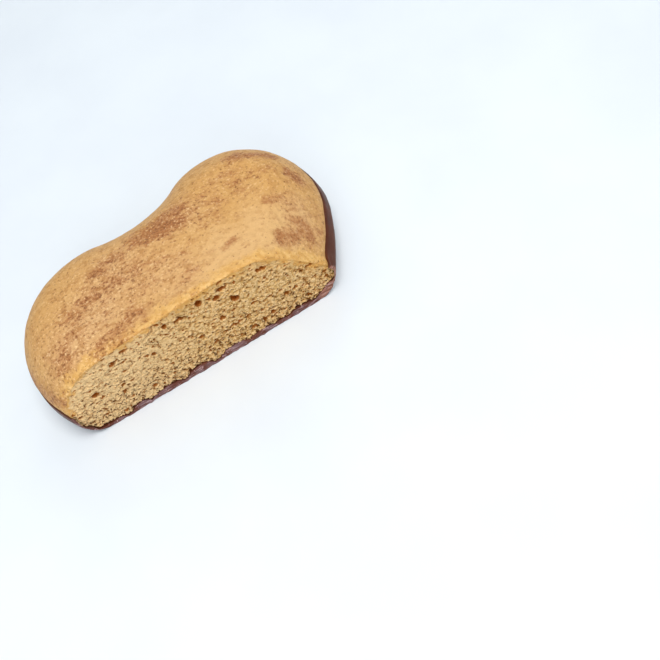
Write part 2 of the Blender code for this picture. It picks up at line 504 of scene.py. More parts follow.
# Dust on the sides that the photo doesn't show: a stroke's two ends in the heart's own mm, width, strength.
hiddenDust = [
    ((20, 16, 13.0), (28, 11, 13.0), 2.3, 0.75),
    ((-25, 17, 13.5), (-13, 19, 13.0), 2.5, 0.7),
    ((-36, 3, 12.5), (-35, -8, 13.5), 2.4, 0.7),
    ((4, 9, 12.5), (10, 12, 12.5), 1.8, 0.5),
]


def strokeAmounts(strokes, places, normals):
    amount = np.zeros(len(places))
    for *ends, width, strength in strokes:
        if len(ends) == 4:
            start = pixelOnCrust(*ends[:2], places, normals)
            end = pixelOnCrust(*ends[2:], places, normals)
        else:
            start, end = (places[np.argmin(np.linalg.norm(places - place, axis=1))] for place in ends)
        run = end - start
        share = np.clip(((places - start) @ run) / (run @ run), 0, 1)
        gap = np.linalg.norm(places - start - share[:, None] * run, axis=1)
        amount = np.maximum(amount, strength * np.exp(-((gap / width) ** 2)))
    return amount


def newMesh(name, points, faces):
    mesh = bpy.data.meshes.new(name)
    mesh.from_pydata(points.tolist(), [], faces)
    mesh.validate()
    mesh.shade_smooth()
    piece = bpy.data.objects.new(name, mesh)
    bpy.context.scene.collection.objects.link(piece)
    return piece


def keepAttribute(piece, name, values, kind="FLOAT", domain="POINT"):
    attribute = piece.data.attributes.new(name, kind, domain)
    field = "vector" if kind == "FLOAT_VECTOR" else "value"
    attribute.data.foreach_set(field, np.asarray(values).ravel())


def makeBody(coatEdge):
    # one closed skin: the crust's grid from the floor to the top, and the open crumb in the cut
    grid = bodyGrid()
    upperStart = body["floorRows"] + body["cornerRows"]
    grid[upperStart:] = rollEdge(grid)
    rows, columns = grid.shape[:2]
    crust = grid.reshape(-1, 3)
    loop = cutLoop(rows, columns)
    loopPlaces = onCutPlane(crust[loop])
    covered = behindCut(crust[loop]) > 0.01

    step = body["cutSpacing"]
    low, high = loopPlaces.min(axis=0), loopPlaces.max(axis=0)
    across = np.arange(low[0], high[0], step)
    lattice = []
    for number, height in enumerate(np.arange(low[1], high[1], step * math.sqrt(0.75))):
        lattice.append(np.column_stack([across + step / 2 * (number % 2), np.full(len(across), height)]))
    lattice = np.vstack(lattice)
    lattice += np.random.default_rng(5).uniform(-0.18, 0.18, lattice.shape) * step
    lattice = lattice[insideOutline(loopPlaces, lattice)]
    edge = densify(np.vstack([loopPlaces, loopPlaces[:1]]), 0.05)
    lattice = lattice[nearestTo(edge, lattice) > 0.6 * step]
    flat = [tuple(place) for place in np.vstack([loopPlaces, lattice]).tolist()]
    result = delaunay_2d_cdt(flat, [], [list(range(len(loop)))], 1, 1e-6, True)
    triangles = np.array(result[2])

    # the crumb is set back behind the coat's broken edge, and comes forward just above it
    toCoat = nearestTo(densify(coatEdge, 0.05), lattice)
    above = insideOutline(coatEdge, lattice) | (lattice[:, 1] > coatEdge[[0, -1], 1].min())
    toCovered = nearestTo(loopPlaces[covered], lattice)
    toBare = nearestTo(loopPlaces[~covered], lattice)
    back = np.maximum(
        1 - smooth(np.where(above, toCoat, -toCoat), -0.1, body["stepForward"]),
        1 - smooth(toCovered, 0.05, 0.35),
    )
    back = coatedClip(np.minimum(lattice[:, 1], lip["low"] - 0.5)) * back
    cutPoints = np.column_stack([knife + lattice[:, :1] * alongCut + back[:, None] * intoCut, lattice[:, 1]])

    index = np.concatenate([loop, len(crust) + np.arange(len(lattice))])
    quads = gridFaces(rows, columns)
    faces = quads.tolist() + index[triangles].tolist()
    points = np.vstack([crust, cutPoints])
    piece = newMesh("gingerbreadBody", inFrame(points), faces)

    normals = gridNormals(grid).reshape(-1, 3)
    normals *= np.sign(normals[len(crust) - columns // 2, 2])
    bare = np.arange(len(points)) >= upperStart * columns
    bare[len(crust) :] = False
    allDust = dustStrokes + hiddenDust
    for name, strokes in (("dust", allDust), ("paleAndHighlight", paleAndHighlightStrokes), ("coarse", coarseStrokes)):
        amounts = np.zeros(len(points))
        amounts[bare] = strokeAmounts(strokes, points[bare], normals[bare[: len(crust)]])
        keepAttribute(piece, name, amounts)
    fromEdge = np.concatenate([behindCut(crust), -toBare]) * mm
    keepAttribute(piece, "fromEdge", fromEdge)
    cutPlaces = np.column_stack([onCutPlane(points), np.zeros(len(points))]) * mm
    keepAttribute(piece, "cutPlace", cutPlaces, "FLOAT_VECTOR")
    depths = np.concatenate([np.zeros(len(crust)), holeDepths(lattice)]) * mm
    keepAttribute(piece, "hole", depths)
    fromRim = smooth(np.minimum(toCovered, toBare), 0.0, 0.22)
    keepAttribute(piece, "inner", np.concatenate([np.zeros(len(crust)), fromRim]))
    openFace = np.arange(len(faces)) >= len(quads)
    keepAttribute(piece, "openFace", openFace, "BOOLEAN", "FACE")
    print("body", len(points), "points", len(quads) * 2 + len(triangles), "triangles")
    return piece


# Node helpers for the geometry and the finishes.
def put(tree, kind, values=None, **settings):
    node = tree.nodes.new(kind)
    for key, value in settings.items():
        setattr(node, key, value)
    for key, value in (values or {}).items():
        if isinstance(value, bpy.types.NodeSocket):
            tree.links.new(value, node.inputs[key])
        else:
            node.inputs[key].default_value = value
    return node


def calc(tree, operation, *values):
    return put(tree, "ShaderNodeMath", dict(enumerate(values)), operation=operation).outputs[0]


def vectorCalc(tree, operation, *values):
    node = put(tree, "ShaderNodeVectorMath", dict(enumerate(values)), operation=operation)
    return node.outputs["Value" if operation in ("LENGTH", "DISTANCE", "DOT_PRODUCT") else "Vector"]


def scaled(tree, vector, amount):
    node = put(tree, "ShaderNodeVectorMath", {0: vector, "Scale": amount}, operation="SCALE")
    return node.outputs["Vector"]


def remap(tree, value, fromLow, fromHigh, toLow=0.0, toHigh=1.0, shape="SMOOTHSTEP"):
    values = {0: value, 1: fromLow, 2: fromHigh, 3: toLow, 4: toHigh}
    return put(tree, "ShaderNodeMapRange", values, interpolation_type=shape).outputs[0]


def noiseAt(tree, place, size, detail=2.0, roughness=0.5, output=0):
    # noise whose features are about this size, in mm
    values = {"Vector": place, "Scale": 1 / (size * mm), "Detail": detail, "Roughness": roughness}
    return put(tree, "ShaderNodeTexNoise", values).outputs[output]


def cellsAt(tree, place, size, flat=False):
    values = {"Vector": place, "Scale": size if isinstance(size, bpy.types.NodeSocket) else 1 / (size * mm)}
    return put(tree, "ShaderNodeTexVoronoi", values, voronoi_dimensions="2D" if flat else "3D")


def geometryTree(name, sizes):
    tree = bpy.data.node_groups.new(name, "GeometryNodeTree")
    kinds = {float: "NodeSocketFloat", int: "NodeSocketInt", tuple: "NodeSocketVector"}
    tree.interface.new_socket("Geometry", in_out="INPUT", socket_type="NodeSocketGeometry")
    for label, value in sizes.items():
        socket = tree.interface.new_socket(label, in_out="INPUT", socket_type=kinds[type(value)])
        socket.default_value = value
    tree.interface.new_socket("Geometry", in_out="OUTPUT", socket_type="NodeSocketGeometry")
    return tree, tree.nodes.new("NodeGroupInput"), tree.nodes.new("NodeGroupOutput")


def attributeOf(tree, name, kind="FLOAT"):
    return put(tree, "GeometryNodeInputNamedAttribute", {"Name": name}, data_type=kind).outputs[0]


def grow(piece, tree, sizes):
    # lets the tree work on the piece and keeps the result as a plain mesh
    modifier = piece.modifiers.new(tree.name, "NODES")
    modifier.node_group = tree
    for socket in tree.interface.items_tree:
        if socket.in_out == "INPUT" and socket.name in sizes:
            modifier[socket.identifier] = sizes[socket.name]
    graph = bpy.context.evaluated_depsgraph_get()
    grown = bpy.data.meshes.new_from_object(
        piece.evaluated_get(graph), preserve_all_data_layers=True, depsgraph=graph
    )
    piece.modifiers.remove(modifier)
    grown.name = piece.name
    piece.data = grown
    return piece


# The crumb's lumps and grains, which its relief and its finish share, in mm.
crumbGrain = {
    "bend": 0.8,
    "bendSize": 0.9,
    "lump": 0.72,
    "lumpStretch": 1.3,
    "grain": 0.42,
    "grainStretch": 1.2,
}


def bentPlace(tree, cutPlace):
    wobble = noiseAt(tree, cutPlace, crumbGrain["bendSize"], 2.0, output=1)
    wobble = vectorCalc(tree, "SUBTRACT", wobble, (0.5, 0.5, 0.5))
    return vectorCalc(tree, "ADD", cutPlace, scaled(tree, wobble, crumbGrain["bend"] * mm))


def grainGap(tree, bent, kind):
    # 0 on the top of each lump or grain and 1 in the gaps between them
    stretched = vectorCalc(tree, "MULTIPLY", bent, (1 / crumbGrain[kind + "Stretch"], 1.0, 1.0))
    cells = cellsAt(tree, stretched, crumbGrain[kind], flat=True)
    return remap(tree, cells.outputs["Distance"], 0.28, 0.78)


# The open crumb and the crust's skin, sizes in metres.
crumbRelief = {
    "Into crumb": (float(intoCut[0]), float(intoCut[1]), 0.0),
    "Pore stretch": 1.3,
    "Fine cell": 0.85 * mm,
    "Fine share": 0.45,
    "Fine radius": 0.24 * mm,
    "Fine depth": 0.38 * mm,
    "Pore cell": 1.9 * mm,
    "Pore share": 0.42,
    "Pore radius": 0.42 * mm,
    "Pore depth": 0.58 * mm,
    "Hole cell": 4.2 * mm,
    "Hole share": 0.16,
    "Hole radius": 0.48 * mm,
    "Hole depth": 0.75 * mm,
    "Lump depth": 0.1 * mm,
    "Grain depth": 0.14 * mm,
    "Roughness": 0.32 * mm,
    "Slit stretch": 1.6,
    "Slit depth": 0.34 * mm,
    "Unevenness": 0.2 * mm,
    "Set back": 0.1 * mm,
    "Crust swell": 0.16 * mm,
    "Crust grain": 0.035 * mm,
}


def poreLayer(tree, place, cell, share, radius, depth, seed):
    shifted = vectorCalc(tree, "ADD", place, (0.31 * seed, 0.17 * seed, 0.0))
    cells = cellsAt(tree, shifted, calc(tree, "DIVIDE", 1.0, cell), flat=True)
    chance = put(tree, "ShaderNodeSeparateXYZ", {0: cells.outputs["Color"]})
    there = calc(tree, "LESS_THAN", chance.outputs[0], share)
    size = calc(tree, "MULTIPLY_ADD", chance.outputs[1], 0.7, 0.55)
    wide = calc(tree, "DIVIDE", calc(tree, "MULTIPLY", size, radius), cell)
    half = calc(tree, "MULTIPLY", wide, 0.45)
    sunk = remap(tree, cells.outputs["Distance"], half, wide, 1.0, 0.0)
    deep = calc(tree, "MULTIPLY", calc(tree, "MULTIPLY", depth, size), sunk)
    return calc(tree, "MULTIPLY", deep, there)


def squeezed(tree, stretch):
    return put(tree, "ShaderNodeCombineXYZ", {0: calc(tree, "DIVIDE", 1.0, stretch), 1: 1.0, 2: 1.0}).outputs[0]


def reliefTree(crustFinish, crumbFinish):
    tree, start, end = geometryTree("crumbAndCrust", crumbRelief)
    size = start.outputs
    inner = attributeOf(tree, "inner")
    fromEdge = attributeOf(tree, "fromEdge")
    cutPlace = attributeOf(tree, "cutPlace", "FLOAT_VECTOR")
    place = put(tree, "GeometryNodeInputPosition").outputs[0]
    normal = put(tree, "GeometryNodeInputNormal").outputs[0]

    # the crust swells and dips a little, and is finely grained
    swell = calc(tree, "SUBTRACT", noiseAt(tree, place, 7.0, 1.5), 0.5)
    grain = calc(tree, "SUBTRACT", noiseAt(tree, place, 1.3, 3.0, 0.6), 0.5)
    crustHeight = calc(tree, "MULTIPLY", swell, calc(tree, "MULTIPLY", size["Crust swell"], 2.0))
    grainHeight = calc(tree, "MULTIPLY", grain, calc(tree, "MULTIPLY", size["Crust grain"], 2.0))
    crustHeight = calc(tree, "ADD", crustHeight, grainHeight)
    crustHeight = calc(tree, "MULTIPLY", crustHeight, remap(tree, fromEdge, 0.0, 1.5 * mm))
    onCrust = put(tree, "GeometryNodeSetPosition", {
        "Geometry": start.outputs["Geometry"],
        "Offset": scaled(tree, normal, crustHeight),
    })

    # pores of three sizes, flattened along the cut and bent a little out of shape
    bent = bentPlace(tree, cutPlace)
    porePlace = vectorCalc(tree, "MULTIPLY", bent, squeezed(tree, size["Pore stretch"]))
    pores = None
    crowd = remap(tree, fromEdge, -2.4 * mm, -1.4 * mm, 1.0, 1.7)  # there are more of them under the crust
    for seed, kind in enumerate(("Fine", "Pore", "Hole"), 1):
        share = calc(tree, "MULTIPLY", size[kind + " share"], crowd)
        layer = poreLayer(tree, porePlace, size[kind + " cell"], share,
                          size[kind + " radius"], size[kind + " depth"], seed)
        pores = calc(tree, "MAXIMUM", pores, layer) if pores else layer
    pores = calc(tree, "MULTIPLY", pores, remap(tree, fromEdge, -0.5 * mm, -0.15 * mm, 1.0, 0.4))
    depth = calc(tree, "MAXIMUM", pores, attributeOf(tree, "hole"))

    # lumps and grains stand out between fine slits, more so towards the floor and less under the crust
    dense = remap(tree, fromEdge, -1.2 * mm, -0.1 * mm, 1.0, 0.6)
    height = put(tree, "ShaderNodeSeparateXYZ", {0: cutPlace}).outputs[1]
    coarse = calc(tree, "MULTIPLY", dense, remap(tree, height, 3.0 * mm, 13.0 * mm, 1.4, 0.85))
    fine = calc(tree, "SUBTRACT", noiseAt(tree, bent, 0.5, 3.0, 0.6), 0.47)
    fine = calc(tree, "MULTIPLY", fine, calc(tree, "MULTIPLY", size["Roughness"], 2.0))
    for kind in ("Lump", "Grain"):
        gap = calc(tree, "MULTIPLY", grainGap(tree, bent, kind.lower()), size[kind + " depth"])
        fine = calc(tree, "ADD", fine, gap)
    slitPlace = vectorCalc(tree, "MULTIPLY", bent, squeezed(tree, size["Slit stretch"]))
    slit = remap(tree, noiseAt(tree, slitPlace, 0.6, 2.0, 0.55), 0.42, 0.28)
    fine = calc(tree, "ADD", fine, calc(tree, "MULTIPLY", slit, size["Slit depth"]))
    fine = calc(tree, "MULTIPLY", fine, coarse)
    uneven = calc(tree, "SUBTRACT", noiseAt(tree, cutPlace, 6.0, 1.0), 0.4)
    uneven = calc(tree, "MULTIPLY", uneven, calc(tree, "MULTIPLY", size["Unevenness"], 2.0))
    offset = calc(tree, "ADD", calc(tree, "ADD", depth, fine), calc(tree, "ADD", uneven, size["Set back"]))
    offset = calc(tree, "MAXIMUM", offset, 0.0)  # nothing stands out of the cut
    relief = put(tree, "GeometryNodeSetPosition", {
        "Geometry": onCrust.outputs[0],
        "Offset": scaled(tree, size["Into crumb"], calc(tree, "MULTIPLY", offset, inner)),
    })
    kept = relief
    for name, value in (("pore", depth), ("sunk", fine)):
        inside = calc(tree, "MULTIPLY", value, inner)
        kept = put(tree, "GeometryNodeStoreNamedAttribute", {
            "Geometry": kept.outputs[0],
            "Name": name,
            "Value": calc(tree, "DIVIDE", inside, 1.0 * mm),
        }, data_type="FLOAT", domain="POINT")
    whole = put(tree, "GeometryNodeRealizeInstances", {"Geometry": kept.outputs[0]})
    crusted = put(tree, "GeometryNodeSetMaterial", {"Geometry": whole.outputs[0], "Material": crustFinish})
    crumbed = put(tree, "GeometryNodeSetMaterial", {
        "Geometry": crusted.outputs[0],
        "Selection": attributeOf(tree, "openFace", "BOOLEAN"),
        "Material": crumbFinish,
    })
    tree.links.new(crumbed.outputs[0], end.inputs[0])
    return tree


def tint(red, green, blue):
    # an 8-bit screen colour as the linear one that shaders take
    return tuple(((c / 255 + 0.055) / 1.055) ** 2.4 for c in (red, green, blue)) + (1.0,)


def finish(name):
    material = bpy.data.materials.new(name)
    material.use_nodes = True
    tree = material.node_tree
    shader = tree.nodes["Principled BSDF"]
    return material, tree, shader


def blendTint(tree, share, first, second, way="MIX"):
    node = put(tree, "ShaderNodeMix", {0: share, 6: first, 7: second}, data_type="RGBA", blend_type=way)
    return node.outputs[2]


def meshAttribute(tree, name, output="Fac"):
    return put(tree, "ShaderNodeAttribute", attribute_name=name).outputs[output]


crustLook = {
    "paleAndHighlight": (214, 170, 112),
    "mid": (202, 153, 88),
    "dry": (212, 168, 121),
    "deep": (168, 115, 60),
    "glint": (240, 204, 152),
    "haze": (184, 126, 76),
    "dust": (156, 94, 46),
    "pit": (118, 68, 30),
    "streak": 1.25,  # how much longer its marks are along the cut than across it
    "amber": (206, 154, 80),
    "amberLight": (226, 182, 112),
    "roughness": 0.5,
}


def streakedPlace(tree, place):
    # a place turned to the cut's own directions and squeezed along it, which draws marks out that way
    along = vectorCalc(tree, "DOT_PRODUCT", place, (float(alongCut[0]), float(alongCut[1]), 0.0))
    across = vectorCalc(tree, "DOT_PRODUCT", place, (float(intoCut[0]), float(intoCut[1]), 0.0))
    height = put(tree, "ShaderNodeSeparateXYZ", {0: place}).outputs[2]
    squeezedAlong = calc(tree, "DIVIDE", along, crustLook["streak"])
    return put(tree, "ShaderNodeCombineXYZ", {0: squeezedAlong, 1: across, 2: height}).outputs[0]


def makeCrustFinish():
    look = crustLook
    material, tree, shader = finish("bakedCrust")
    place = put(tree, "ShaderNodeTexCoord").outputs["Object"]
    streaked = streakedPlace(tree, place)
    broad = noiseAt(tree, place, 9.0, 2.0)
    mottle = noiseAt(tree, streaked, 1.4, 3.0, 0.6)
    specks = noiseAt(tree, place, 0.5, 2.0, 0.6)
    # partly painted highlight: the pale strokes lighten the crust where broad light falls on the top's centre, and
    # elsewhere give paler baking
    palenessAndHighlight = calc(tree, "ADD", meshAttribute(tree, "paleAndHighlight"), calc(tree, "MULTIPLY_ADD", broad, 1.6, -0.75))
    colour = blendTint(tree, remap(tree, palenessAndHighlight, 0.0, 1.0), tint(*look["mid"]), tint(*look["paleAndHighlight"]))
    coarse = meshAttribute(tree, "coarse")
    colour = blendTint(tree, calc(tree, "MULTIPLY", coarse, 0.55), colour, tint(*look["dry"]))
    uneven = calc(tree, "MULTIPLY_ADD", meshAttribute(tree, "paleAndHighlight"), -0.25, calc(tree, "MULTIPLY", coarse, 0.3))
    mottled = calc(tree, "MULTIPLY", remap(tree, mottle, 0.46, 0.7), calc(tree, "ADD", uneven, 0.5))
    colour = blendTint(tree, mottled, colour, tint(*look["deep"]))

    # the band that the knife pressed down is smooth and amber, with lighter blotches
    fromEdge = meshAttribute(tree, "fromEdge")
    ragged = calc(tree, "MULTIPLY_ADD", noiseAt(tree, place, 2.0, 4.0, 0.6), 5.4 * mm, -2.7 * mm)
    pressed = remap(tree, calc(tree, "ADD", fromEdge, ragged), 1.1 * mm, 2.6 * mm, 1.0, 0.0)
    blotches = remap(tree, noiseAt(tree, place, 1.3, 4.0, 0.65), 0.4, 0.68)
    amber = blendTint(tree, blotches, tint(*look["amber"]), tint(*look["amberLight"]))
    colour = blendTint(tree, calc(tree, "MULTIPLY", pressed, 0.85), colour, amber)

    # brown dust lies in soft patches with fine clumps, which are rough with dark pits; light specks over the crust are
    # painted glints
    patches = calc(tree, "MULTIPLY_ADD", noiseAt(tree, streaked, 2.2, 4.0, 0.65), 1.7, -0.85)
    patches = calc(tree, "ADD", meshAttribute(tree, "dust"), patches)
    colour = blendTint(tree, remap(tree, patches, 0.1, 1.0, 0.0, 0.6), colour, tint(*look["haze"]))
    clumps = calc(tree, "MULTIPLY_ADD", noiseAt(tree, streaked, 0.65, 3.0, 0.65), 2.4, -1.2)
    dust = remap(tree, calc(tree, "ADD", patches, clumps), 0.15, 1.05)
    colour = blendTint(tree, calc(tree, "MULTIPLY", dust, 0.7), colour, tint(*look["dust"]))
    pitFrom = calc(tree, "MULTIPLY_ADD", meshAttribute(tree, "paleAndHighlight"), 0.05, 0.6)
    pitFrom = calc(tree, "MULTIPLY_ADD", dust, -0.08, calc(tree, "MULTIPLY_ADD", coarse, -0.035, pitFrom))
    pits = remap(tree, specks, pitFrom, calc(tree, "ADD", pitFrom, 0.12))
    colour = blendTint(tree, calc(tree, "MULTIPLY", pits, 0.7), colour, tint(*look["pit"]))
    # painted highlight: small whitish glints, fewer where the crust is pale
    paintedGlints = calc(tree, "MULTIPLY", remap(tree, specks, 0.44, 0.28), calc(tree, "ADD", uneven, 0.43))
    colour = blendTint(tree, paintedGlints, colour, tint(*look["glint"]))

    rough = calc(tree, "MULTIPLY_ADD", coarse, -0.7, calc(tree, "MULTIPLY_ADD", dust, -1.0, -0.6))
    rough = calc(tree, "MULTIPLY", specks, rough)
    height = calc(tree, "ADD", calc(tree, "MULTIPLY", mottle, 1.4), rough)
    bump = put(tree, "ShaderNodeBump", {"Strength": 0.9, "Distance": 0.16 * mm, "Height": height})
    tree.links.new(bump.outputs[0], shader.inputs["Normal"])
    tree.links.new(colour, shader.inputs["Base Color"])
    tree.links.new(remap(tree, mottle, 0.3, 0.8, look["roughness"], 0.7), shader.inputs["Roughness"])
    shader.inputs["Specular IOR Level"].default_value = 0.28
    return material


crumbLook = {
    # light is painted highlight for the tops of lumps and grains
    "light": (230, 195, 142),
    "mid": (211, 168, 108),
    "under": (202, 160, 98),
    # left is painted light for the cut's left part
    "left": (226, 192, 142),
    # gap is painted shade, in the gaps between grains and in sunken relief
    "gap": (138, 82, 22),
    # slit is painted shade in fine crevices
    "slit": (96, 46, 2),
    # the pore tints are the hole walls' browner colour, darkened with depth as painted shade
    "pore": (162, 92, 28),
    "deepPoreAndShade": (150, 74, 8),
    "amber": (210, 156, 82),
    "seam": (160, 98, 42),
}


def makeCrumbFinish():
    look = crumbLook
    material, tree, shader = finish("openCrumb")
    place = put(tree, "ShaderNodeTexCoord").outputs["Object"]
    cutPlace = meshAttribute(tree, "cutPlace", "Vector")
    bent = bentPlace(tree, cutPlace)
    broad = noiseAt(tree, place, 5.0, 2.0)
    dots = noiseAt(tree, cutPlace, 0.34, 2.0, 0.6)
    colour = blendTint(tree, remap(tree, broad, 0.3, 0.7), tint(*look["mid"]), tint(*look["under"]))
    onCut = put(tree, "ShaderNodeSeparateXYZ", {0: cutPlace}).outputs
    # painted light: the left part of the cut is lightened, as more light falls there than on the right
    colour = blendTint(tree, remap(tree, onCut[0], -4.0 * mm, -24.0 * mm, 0.0, 0.8), colour, tint(*look["left"]))

    # the edge zone is dense, and more open and grainy away from it; there lump tops get painted highlight and the gaps
    # between them painted shade
    fromEdge = meshAttribute(tree, "fromEdge")
    open = remap(tree, fromEdge, -2.8 * mm, -0.3 * mm, 1.0, 0.35)
    lowDown = remap(tree, onCut[1], 3.0 * mm, 13.0 * mm, 1.0, 0.0)  # and coarser and darker towards the floor
    gaps = calc(tree, "MULTIPLY", grainGap(tree, bent, "lump"), 0.75)
    gaps = calc(tree, "ADD", gaps, calc(tree, "MULTIPLY", grainGap(tree, bent, "grain"), 0.35))
    gaps = calc(tree, "ADD", gaps, calc(tree, "MULTIPLY_ADD", dots, -1.2, 0.6))
    clouds = calc(tree, "MULTIPLY_ADD", noiseAt(tree, cutPlace, 1.6, 2.0, 0.6), 1.0, -0.5)
    gaps = calc(tree, "ADD", gaps, clouds)
    # painted highlight: lump and grain tops are lightened as if lit from above
    paintedLumpHighlight = calc(tree, "MULTIPLY", remap(tree, gaps, 0.45, -0.05, 0.0, 0.85), open)
    colour = blendTint(tree, paintedLumpHighlight, colour, tint(*look["light"]))
    # painted shade: the gaps between lumps and grains are darkened, more towards the floor
    paintedCreaseShade = calc(tree, "MULTIPLY", remap(tree, gaps, 0.5, 1.1), calc(tree, "MULTIPLY_ADD", lowDown, 0.15, 0.67))
    colour = blendTint(tree, calc(tree, "MULTIPLY", paintedCreaseShade, open), colour, tint(*look["gap"]))

    # the crust's amber reaches down into the crumb, here and there with a brown seam under it
    ragged = calc(tree, "MULTIPLY_ADD", noiseAt(tree, place, 1.4, 4.0, 0.6), 5.0 * mm, -2.5 * mm)
    near = remap(tree, calc(tree, "ADD", fromEdge, ragged), -0.9 * mm, -0.1 * mm, 0.0, 0.85)
    colour = blendTint(tree, near, colour, tint(*look["amber"]))
    wander = calc(tree, "MULTIPLY_ADD", noiseAt(tree, place, 1.0, 3.0), 2.6 * mm, -0.3 * mm)
    seam = calc(tree, "ABSOLUTE", calc(tree, "ADD", fromEdge, wander))
    seam = calc(tree, "MULTIPLY", remap(tree, seam, 0.16 * mm, 0.04 * mm),
                remap(tree, noiseAt(tree, place, 2.6, 1.0), 0.5, 0.6, 0.0, 0.55))
    colour = blendTint(tree, seam, colour, tint(*look["seam"]))

    # painted shade: dark slits stand for shade in fine crevices; the same mask dents the bump
    slitPlace = vectorCalc(tree, "MULTIPLY", bent, (1 / 1.7, 1.0, 1.0))
    slitFrom = calc(tree, "MULTIPLY_ADD", lowDown, 0.055, 0.375)  # there are more of them low down
    slitNoise = noiseAt(tree, slitPlace, 0.55, 2.0, 0.6)
    slitsWithPaintedShade = calc(tree, "MULTIPLY", remap(tree, slitNoise, slitFrom, calc(tree, "SUBTRACT", slitFrom, 0.06)), open)
    colour = blendTint(tree, calc(tree, "MULTIPLY", slitsWithPaintedShade, 0.9), colour, tint(*look["slit"]))
    pore = meshAttribute(tree, "pore")
    sunk = meshAttribute(tree, "sunk")
    # painted shade: sunken relief is darkened
    colour = blendTint(tree, remap(tree, sunk, 0.22, 0.55, 0.0, 0.6), colour, tint(*look["gap"]))
    # partly painted shade: pores take the hole walls' browner colour, darker the deeper they are
    colour = blendTint(tree, remap(tree, pore, 0.08, 0.3, 0.0, 0.9), colour, tint(*look["pore"]))
    colour = blendTint(tree, remap(tree, pore, 0.4, 0.8, 0.0, 0.9), colour, tint(*look["deepPoreAndShade"]))
    height = calc(tree, "MULTIPLY", gaps, calc(tree, "MULTIPLY", open, -1.0))
    height = calc(tree, "SUBTRACT", height, slitsWithPaintedShade)
    bump = put(tree, "ShaderNodeBump", {"Strength": 1.0, "Distance": 0.2 * mm, "Height": height})
    tree.links.new(bump.outputs[0], shader.inputs["Normal"])
    tree.links.new(colour, shader.inputs["Base Color"])
    shader.inputs["Roughness"].default_value = 0.8
    shader.inputs["Specular IOR Level"].default_value = 0.12
    return material


# The chocolate coat, in mm. Deep inside it is even, and at the cut it broke into flat lenses.
coat = {
    "wallRows": 9,
    "cornerRows": 12,
    "floorRows": 40,
    "softening": 6,  # times that its widest line is smoothed
    "slide": 4.0,
    "floorThickness": 1.45,
    "wallThickness": 1.15,
    "wallAtCut": 0.38,
    "thinnest": 0.45,
    "lensPower": 0.6,
    "edgeReach": 2.5,
    "acrossEdge": 9,
    "edgeBack": 0.02,
    "edgeWaver": 0.08,
    "edgeChip": 0.1,
    "chipFade": 2.0,
    "flakeLift": 0.25,
}
# The lenses by the photo's x along the cut's foot: from, to, thickness. The left ones are made up.
coatLenses = [
    (40, 62, 1.5),
    (60, 83, 1.9),
    (82, 103, 1.4),
    (101, 127, 1.0),
    (134, 152, 1.8),
    (154, 184, 1.65),
    (189, 215, 2.05),
    (222, 252, 1.75),
    (250, 278, 1.5),
    (272, 293, 1.2),
    (289, 318, 1.75),
    (316, 340, 2.1),
]


def footPlace(x):
    # the place along the cut's foot that the photo shows in this column
    run = np.linspace(-36, 36, 721)
    foot = np.column_stack([knife + run[:, None] * alongCut, np.full(len(run), 0.7)])
    return np.interp(x, toPhoto(foot)[:, 0], run)


def edgeThickness(run):
    thickness = np.full(run.shape, coat["thinnest"])
    for fromX, toX, most in coatLenses:
        start, end = footPlace(fromX), footPlace(toX)
        across = (run - (start + end) / 2) / ((end - start) / 2)
        lens = np.clip(1 - across**2, 0, 1) ** coat["lensPower"]
        thickness = np.maximum(thickness, coat["thinnest"] + (most - coat["thinnest"]) * lens)
    return thickness


def coatSheet(skin):
    # rows of the coat's outside, or of its inside where skin is its thickness
    edges = lipHeights()
    depth, power = shoulderAt(outline)
    rising = heart["thickness"] - heart["widestHeight"]
    lipTurn = np.arcsin(((edges - heart["widestHeight"]) / rising) ** (power / 2))
    wallSkin = coat["wallThickness"] * (skin > 0)
    rows = []
    for share in np.linspace(1, 0, coat["wallRows"], endpoint=False):
        turn = lipTurn * share
        inset = depth * (1 - np.cos(turn) ** (2 / power))
        height = heart["widestHeight"] + rising * np.sin(turn) ** (2 / power)
        rows.append(ringRow(inset + wallSkin, height, 0.0, shares))
    full = np.ones(len(outline))
    for turn in np.linspace(0, math.pi / 2, coat["cornerRows"]):
        sideways = wallSkin * math.cos(turn)
        inset = heart["baseRounding"] - (heart["baseRounding"] - sideways) * math.cos(turn)
        height = heart["widestHeight"] - (heart["widestHeight"] - skin) * math.sin(turn)
        rows.append(ringRow(full * inset, full * height, 0.0, shares))
    floorShares = np.linspace(0, 1, coat["floorRows"] + 1)[1:]
    floorShares = floorShares + 0.15 * np.sin(math.pi * floorShares) * floorShares
    for plan in fanPlaces(rows[-1], floorShares, coat["slide"]):
        rows.append(np.column_stack([plan, np.full(len(plan), float(skin))]))
    rows = np.array(rows)
    first, last = 2, coat["wallRows"] + coat["cornerRows"] // 2
    for _ in range(coat["softening"]):
        rows[first:last] = (rows[first - 1 : last - 1] + 2 * rows[first:last] + rows[first + 1 : last + 1]) / 4
    return rows


